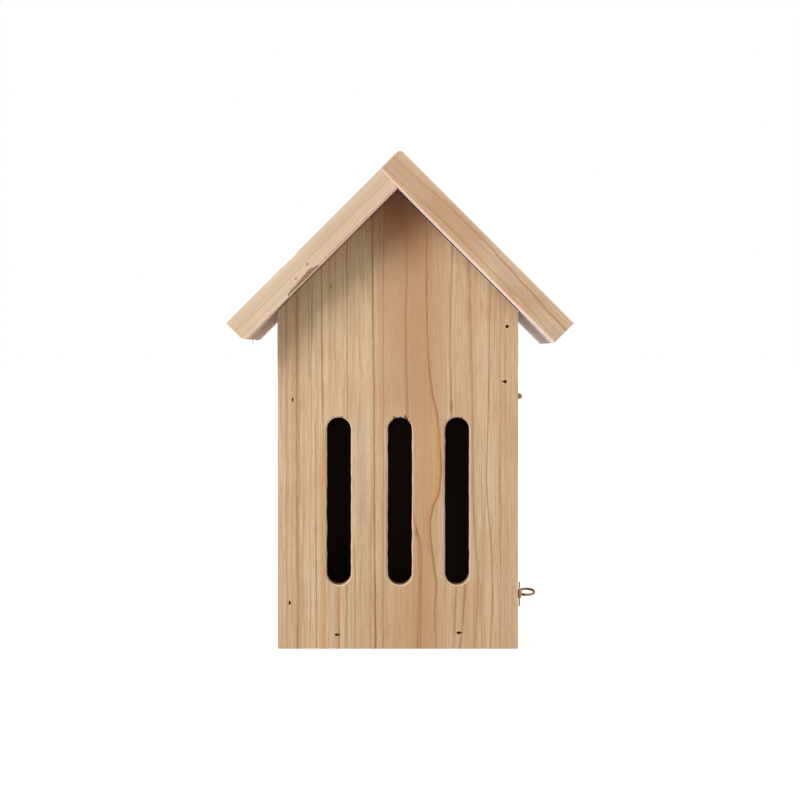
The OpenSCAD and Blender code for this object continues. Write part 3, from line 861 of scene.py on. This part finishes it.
leftRoof = block("leftRoofPlank", (rightSlope["thick"], roof["low"], -leftSlope["thick"]),
                 (roof["length"], roof["high"], 0))
roundEdges(leftRoof, lowerEave, leftSlope["eaveRound"], 8)
roofDents(leftRoof, roof["nails"])
for place, size, turn in leftSlope["chip"]:
    bpy.ops.object.select_all(action="DESELECT")
    bpy.ops.mesh.primitive_ico_sphere_add(subdivisions=3, radius=1, scale=metres(size),
                                          location=metres(place))
    combine(leftRoof, shift(named("chipCutter"), (0, 0, 0), turn, "Y", place))
downSlope(leftRoof, -1)
hanging = sliver("splinter", leftSlope["splinterPlace"], leftSlope["splinterLength"],
                 leftSlope["splinterRadius"], leftSlope["splinterTurn"], leftSlope["splinterLean"])
leftRoof = joined("leftRoofPlank", [leftRoof, hanging])
ease(leftRoof, house["edge"])
keep(leftRoof, "house", "left_roof_board", leftRoofBoard)
leftRoof.data.materials.append(tornWoodAndNotchShade)
for face in leftRoof.data.polygons:
    away = (face.center / mm - Vector(leftSlope["splinterPlace"])).length
    if face.area < leftSlope["splinterFace"] * mm * mm and away < leftSlope["splinterLength"] / 2:
        face.material_index = 1

rightRoof = block("rightRoofPlank", (0, roof["low"], -rightSlope["thick"]),
                  (roof["length"], roof["high"], 0))
roundEdges(rightRoof, lambda place, way: abs(way.y) > 0.9 and place.x < 0.1 and place.z > -0.1,
           rightSlope["ridgeRound"], 6)
roofDents(rightRoof, roof["nails"] + rightSlope["ridgeNails"])
downSlope(rightRoof, 1)
ease(rightRoof, house["edge"])
keep(rightRoof, "house", "right_roof_board", rightRoofBoard)


# Metal

def metalFinish(name, look):
    metal = Finish(name)
    spot = metal.node("ShaderNodeTexCoord", out="Object")
    patch = metal.noise(spot, (160, 160, 160), 4, 0.6)
    grime = metal.noise(spot, (700, 700, 700), 5, 0.65, shift=(3, 1, 2))
    brushed = metal.noise(spot, look["brush"], 3, 0.6)
    colour = metal.mix(metal.smooth(patch, 0.3, 0.7), look["clean"], look["worn"])
    colour = metal.mix(metal.smooth(grime, 0.5, 0.72) * look["grime"], colour, look["dirt"])
    rough = metal.smooth(grime, 0.3, 0.75, look["smoothest"], look["roughest"]) + (brushed - 0.5) * 0.12
    height = brushed * 0.5 + grime * 0.5
    return metal.finish(colour, rough, look["metal"], height, look["bump"])


print("metal finishes")
brass = {
    "clean": (0.52, 0.42, 0.30), "worn": (0.40, 0.32, 0.24), "dirt": (0.16, 0.11, 0.07), "grime": 0.5,
    "smoothest": 0.28, "roughest": 0.55, "metal": 1.0, "bump": 0.01, "brush": (900, 4000, 900),
}
hingeBrass = metalFinish("hingeBrass", brass)
screwBrass = metalFinish("screwBrass", dict(brass, clean=(0.66, 0.46, 0.22), worn=(0.55, 0.37, 0.18)))
brightBrass = metalFinish("brightBrass", dict(brass, clean=(0.64, 0.50, 0.32), worn=(0.38, 0.28, 0.18),
                                             smoothest=0.15, roughest=0.35, grime=0.35))
thinBrass = metalFinish("thinBrass", dict(brass, clean=(0.62, 0.48, 0.28), worn=(0.46, 0.34, 0.20)))
zincSteel = metalFinish("zincSteel", dict(brass, clean=(0.62, 0.63, 0.64), worn=(0.50, 0.51, 0.53),
                                         dirt=(0.25, 0.24, 0.23), grime=0.3, roughest=0.5))
nailSteel = metalFinish("nailSteel", dict(brass, clean=(0.10, 0.07, 0.05), worn=(0.07, 0.045, 0.03),
                                         dirt=(0.05, 0.03, 0.02), metal=0.4, smoothest=0.5, roughest=0.8))

print("hinges")
hinge = {
    "axisX": 60.43934, "axisZ": 125.9, "centres": {"front": -12.0, "rear": 30.0}, "half": 10.0,
    "leafTop": 10.0, "leafLow": 1.65, "thick": 0.8, "corner": 1.3, "edge": 0.1,
    "knuckle": 5.6, "gap": 0.15, "barrel": 1.45, "pin": 0.7, "pinPlay": 0.05, "pinEdge": 0.15,
    "screwY": 6.0, "screwZ": (7.4, 4.4), "sinkX": 0.45, "sinkLong": 1.2, "sinkPlay": 0.15,
    "shank": 1.0, "shankLong": 4.0, "headRadius": 1.6, "dome": 0.45, "driverSlot": 0.36,
}


def hingeLeaf(name, side, spans):
    # side is 1 above the pin and -1 below it, and the spans are where the leaf has knuckles
    wall, face, axisZ = house["rightX"], house["rightX"] + hinge["thick"], hinge["axisZ"]
    outer = axisZ + side * hinge["leafTop"]
    low, high = sorted((axisZ + side * hinge["leafLow"], outer))
    leaf = block(name, (wall, -hinge["half"], low), (face, hinge["half"], high))
    roundEdges(leaf, lambda place, way: abs(way.x) > 0.9 and abs(place.z - outer) < 0.1, hinge["corner"], 5)
    low, high = sorted((axisZ, axisZ + side * (hinge["leafLow"] + 0.05)))
    for start, end in spans:
        combine(leaf, block("tab", (wall, start, low), (face, end, high)), "UNION")
        combine(leaf, rod("barrel", (hinge["axisX"], (start + end) / 2, axisZ), hinge["barrel"],
                          end - start, (90, 0, 0), 36), "UNION")
    hole = hinge["pin"] + hinge["pinPlay"]
    combine(leaf, rod("pinHole", (hinge["axisX"], 0, axisZ), hole, 24, (90, 0, 0), 24))
    for number, z in enumerate(hinge["screwZ"]):
        place = (wall + hinge["sinkX"], (2 * number - 1) * hinge["screwY"], axisZ + side * z)
        combine(leaf, rod("sink", place, hinge["headRadius"] + hinge["sinkPlay"], hinge["sinkLong"],
                          (0, 90, 0), 28))
    return ease(leaf, hinge["edge"])


def screwBlank(name, size):
    # a domed head that sits on the plane x = 0 and points towards +X, with its shank behind
    radius, dome = size["headRadius"], size["dome"]
    ball = (radius * radius + dome * dome) / (2 * dome)
    bpy.ops.object.select_all(action="DESELECT")
    bpy.ops.mesh.primitive_uv_sphere_add(segments=32, ring_count=24, radius=ball * mm,
                                         location=metres((dome - ball, 0, 0)))
    head = named(name)
    cutAway(head, (0, 0, 0), (-1, 0, 0))
    overlap = 0.02
    combine(head, rod("core", (overlap - size["shankLong"] / 2, 0, 0), size["shank"], size["shankLong"],
                      (0, 90, 0), 24), "UNION")
    return head


def driven(head, size, place, turn):
    # cut the driver's slot at its turn, and set the screw in its place
    half, reach = size["driverSlot"] / 2, size["headRadius"] * 1.2
    groove = block("groove", (size["dome"] * 0.35, -half, -reach), (size["dome"] + 1, half, reach))
    combine(head, shift(groove, (0, 0, 0), turn))
    return shift(ease(head, 0.05, 1), place)


half, knuckle = hinge["half"], hinge["knuckle"]
inside = half - knuckle - hinge["gap"]
fixedPattern = hingeLeaf("fixedPattern", 1, [(-half, knuckle - half), (half - knuckle, half)])
movingPattern = hingeLeaf("movingPattern", -1, [(-inside, inside)])
pinPattern = rod("pinPattern", (hinge["axisX"], 0, hinge["axisZ"]), hinge["pin"], 2 * half, (90, 0, 0), 24)
ease(pinPattern, hinge["pinEdge"])
screwPattern = screwBlank("screwPattern", hinge)
for which, middle in hinge["centres"].items():
    fixed = copied(fixedPattern, which + "HingeFixedLeaf", (0, middle, 0))
    keep(fixed, "house", which + "_hinge_fixed_leaf", hingeBrass)
    moving = copied(movingPattern, which + "HingeDoorLeaf", (0, middle, 0))
    keep(moving, "door", which + "_hinge_door_leaf", hingeBrass)
    pin = copied(pinPattern, which + "HingePin", (0, middle, 0))
    keep(pin, "house", which + "_hinge_pin", hingeBrass)


def hingeScrews(name, side):
    heads = []
    for middle in hinge["centres"].values():
        for number, z in enumerate(hinge["screwZ"]):
            place = (house["rightX"] + hinge["thick"], middle + (2 * number - 1) * hinge["screwY"],
                     hinge["axisZ"] + side * z)
            screw = copied(screwPattern, "hingeScrew")
            heads.append(driven(screw, hinge, place, chance.uniform(0, 180)))
    return joined(name, heads)


fixedScrews = hingeScrews("hingeFixedScrewHeads", 1)
keep(fixedScrews, "house", "hinge_fixed_screws", screwBrass)
doorScrews = hingeScrews("hingeDoorScrewHeads", -1)
keep(doorScrews, "door", "hinge_door_screws", screwBrass)
for pattern in (fixedPattern, movingPattern, pinPattern, screwPattern):
    discard(pattern)

print("turn button and pull ring")
button = {
    "y": -32.5, "z": 26.6, "long": 12.4, "wide": 5.0, "out": 0.9, "thick": 0.5, "collar": 2.1, "play": 0.05,
    "edge": 0.1, "shank": 1.1, "shankLong": 11.0, "headRadius": 2.6, "dome": 1.0, "driverSlot": 0.55,
    "driverTurn": 35,
}
wall = house["rightX"]
inner, outer = wall + button["out"], wall + button["out"] + button["thick"]
halfWide, halfLong = button["wide"] / 2, button["long"] / 2
plate = block("turnButtonPlate", (inner, button["y"] - halfWide, button["z"] - halfLong),
              (outer, button["y"] + halfWide, button["z"] + halfLong))
roundEdges(plate, lambda place, way: abs(way.x) > 0.9, halfWide - 0.02, 12)
low, high = wall + button["play"], inner + 0.1
combine(plate, rod("collar", ((low + high) / 2, button["y"], button["z"]), button["collar"], high - low,
                   (0, 90, 0), 32), "UNION")
combine(plate, rod("bore", (wall, button["y"], button["z"]), button["shank"] + button["play"], 8,
                   (0, 90, 0), 28))
ease(plate, button["edge"])
keep(plate, "turn_button", "turn_button", thinBrass)
head = driven(screwBlank("turnButtonScrewHead", button), button,
              (outer + button["play"], button["y"], button["z"]), button["driverTurn"])
keep(head, "house", "turn_button_screw", brightBrass)

ring = {
    "y": -22.0, "z": 26.6, "out": 9.8, "across": 9.2, "wire": 1.25, "tilt": 17.0, "edge": 0.08,
    "gap": 0.7, "gapY": 0.35, "gapOut": 2.6, "gapTurn": 12, "shankX": -3.3, "shankLong": 9.2,
}
bpy.ops.object.select_all(action="DESELECT")
bpy.ops.mesh.primitive_torus_add(
    major_segments=64, minor_segments=20, major_radius=(ring["across"] - ring["wire"]) / 2 * mm,
    minor_radius=ring["wire"] / 2 * mm,
    location=metres((wall + ring["out"] - ring["across"] / 2, ring["y"], ring["z"])))
eye = named("doorPullEye")
near = ring["y"] + ring["gapY"]
gap = block("eyeGap", (wall - 1, near, ring["z"] - 2),
            (wall + ring["gapOut"], near + ring["gap"], ring["z"] + 2))
combine(eye, shift(gap, (0, 0, 0), ring["gapTurn"], "Z", (wall + 1, ring["y"], 0)))
combine(eye, rod("shank", (wall + ring["shankX"], ring["y"], ring["z"]), ring["wire"] / 2,
                 ring["shankLong"], (0, 90, 0), 24), "UNION")
ease(eye, ring["edge"], 2, 50)
shift(eye, (0, 0, 0), ring["tilt"], "X", (wall, ring["y"], ring["z"]))
keep(eye, "door", "door_pull_ring", brightBrass)

print("hanger")
hangerPlate = hangerShape("keyholePlate", 0, 0)
combine(hangerPlate, keyholeCutter(0, 6, 2))
for side in (-1, 1):
    place = (house["middleX"], house["backY"], hanger["z"] + side * hanger["screwZ"])
    combine(hangerPlate, rod("screwHole", place, hanger["screwHole"], 6, (90, 0, 0), 32))
ease(hangerPlate, hanger["edge"])
keep(hangerPlate, "house", "hanger_plate", zincSteel)

print("nails and hanger screws")
nails = ("front_panel_nails", "back_panel_nails", "left_roof_nails", "right_roof_nails", "ridge_nails")
for node in ("hanger_screws",) + nails:
    stock = bpy.data.objects[node]
    stock.data.materials.clear()
    stock.data.materials.append(nailSteel if node in nails else zincSteel)
